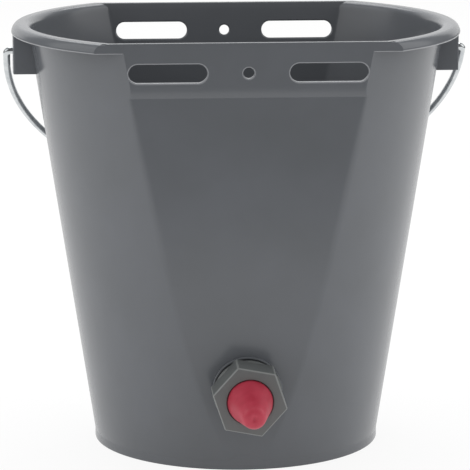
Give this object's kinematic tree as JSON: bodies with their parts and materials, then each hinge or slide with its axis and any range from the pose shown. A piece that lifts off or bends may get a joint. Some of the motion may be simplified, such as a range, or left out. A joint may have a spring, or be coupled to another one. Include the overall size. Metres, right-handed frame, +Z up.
{
  "type": "calf feeder bucket",
  "caption": "Tapered moulded bucket with flat front and back, hanging slots, a swinging wire bail and a screwed-in ball valve with a rubber teat for feeding calves.",
  "frame": {"origin": "middle of the underside of the base, on the ground", "axes": "+Z up, -Y towards the teat, +X along the bail's pivot"},
  "size_m": [0.313, 0.2718, 0.285],
  "materials": {
    "grey_polypropylene": "moulded satin",
    "zinc_wire": "bright zinc plated",
    "valve_nylon": "moulded satin",
    "black_rubber": "matte",
    "red_rubber": "soft satin",
    "white_acetal": "smooth"
  },
  "bodies": {
    "bucket": {"bucket_body": "grey_polypropylene", "valve_body": "valve_nylon", "inner_gasket": "black_rubber", "backing_washer": "grey_polypropylene", "outer_gasket": "black_rubber", "union_nut": "valve_nylon", "teat": "red_rubber", "ball_retainer": "valve_nylon"},
    "bail": {"bail": "zinc_wire"},
    "ball": {"check_ball": "white_acetal"}
  },
  "joints": [
    {"name": "bail_swing", "type": "hinge", "parent": "bucket", "child": "bail", "pos_m": [0, 0, 0.2675], "axis": [1, 0, 0], "range_deg": [0, 268.5]},
    {"name": "ball_slide", "type": "slide", "parent": "bucket", "child": "ball", "axis": [0, 0.9977, 0.0679], "range_m": [0, 0.0045]}
  ]
}
